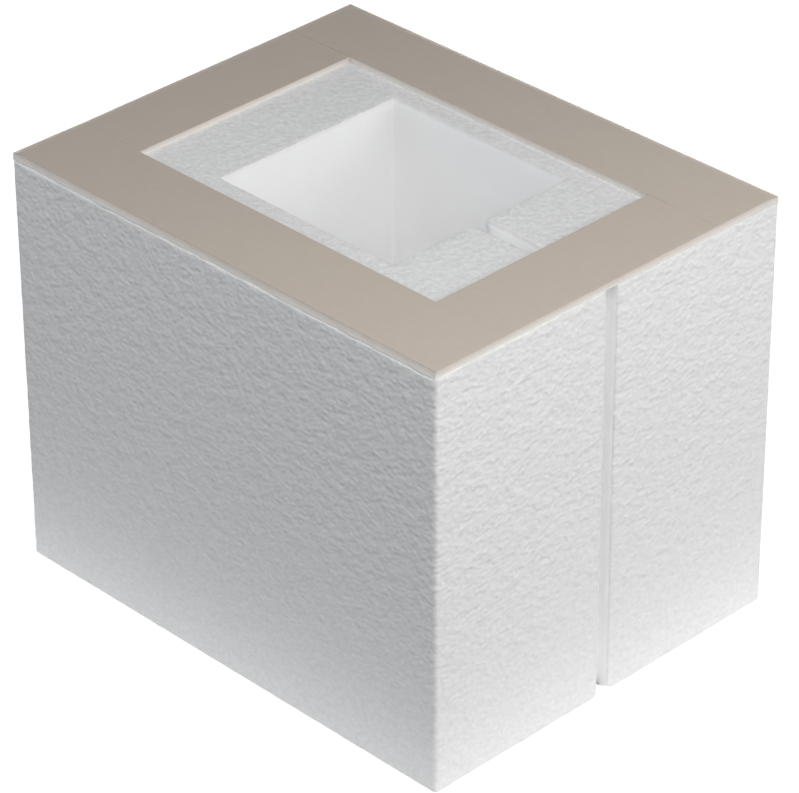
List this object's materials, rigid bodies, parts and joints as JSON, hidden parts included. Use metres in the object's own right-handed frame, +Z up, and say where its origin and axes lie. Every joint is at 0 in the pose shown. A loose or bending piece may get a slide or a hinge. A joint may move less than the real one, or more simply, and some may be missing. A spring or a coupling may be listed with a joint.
{
  "type": "foam block",
  "caption": "Upright box of white expanded foam with a square through-hole, a narrow entry slit in one end and a flat frame of self-adhesive gasket tape on top.",
  "frame": {"origin": "middle of the underside", "axes": "+X from the plain end to the slit end (longest side), +Y from front to back, +Z up through the gasket frame"},
  "size_m": [0.255, 0.203, 0.2032],
  "materials": {
    "expanded_foam": "dull white expanded polystyrene, cut by hot wire, with its beads showing",
    "gasket_foam": "dull cream closed-cell foam tape, seen on its cut sides",
    "release_liner": "satin tan coated release paper"
  },
  "bodies": {
    "root": {"foam_block": "expanded_foam", "front_gasket": "gasket_foam", "back_gasket": "gasket_foam", "left_gasket": "gasket_foam", "right_gasket": "gasket_foam", "front_liner": "release_liner", "back_liner": "release_liner", "left_liner": "release_liner", "right_liner": "release_liner"}
  },
  "joints": []
}
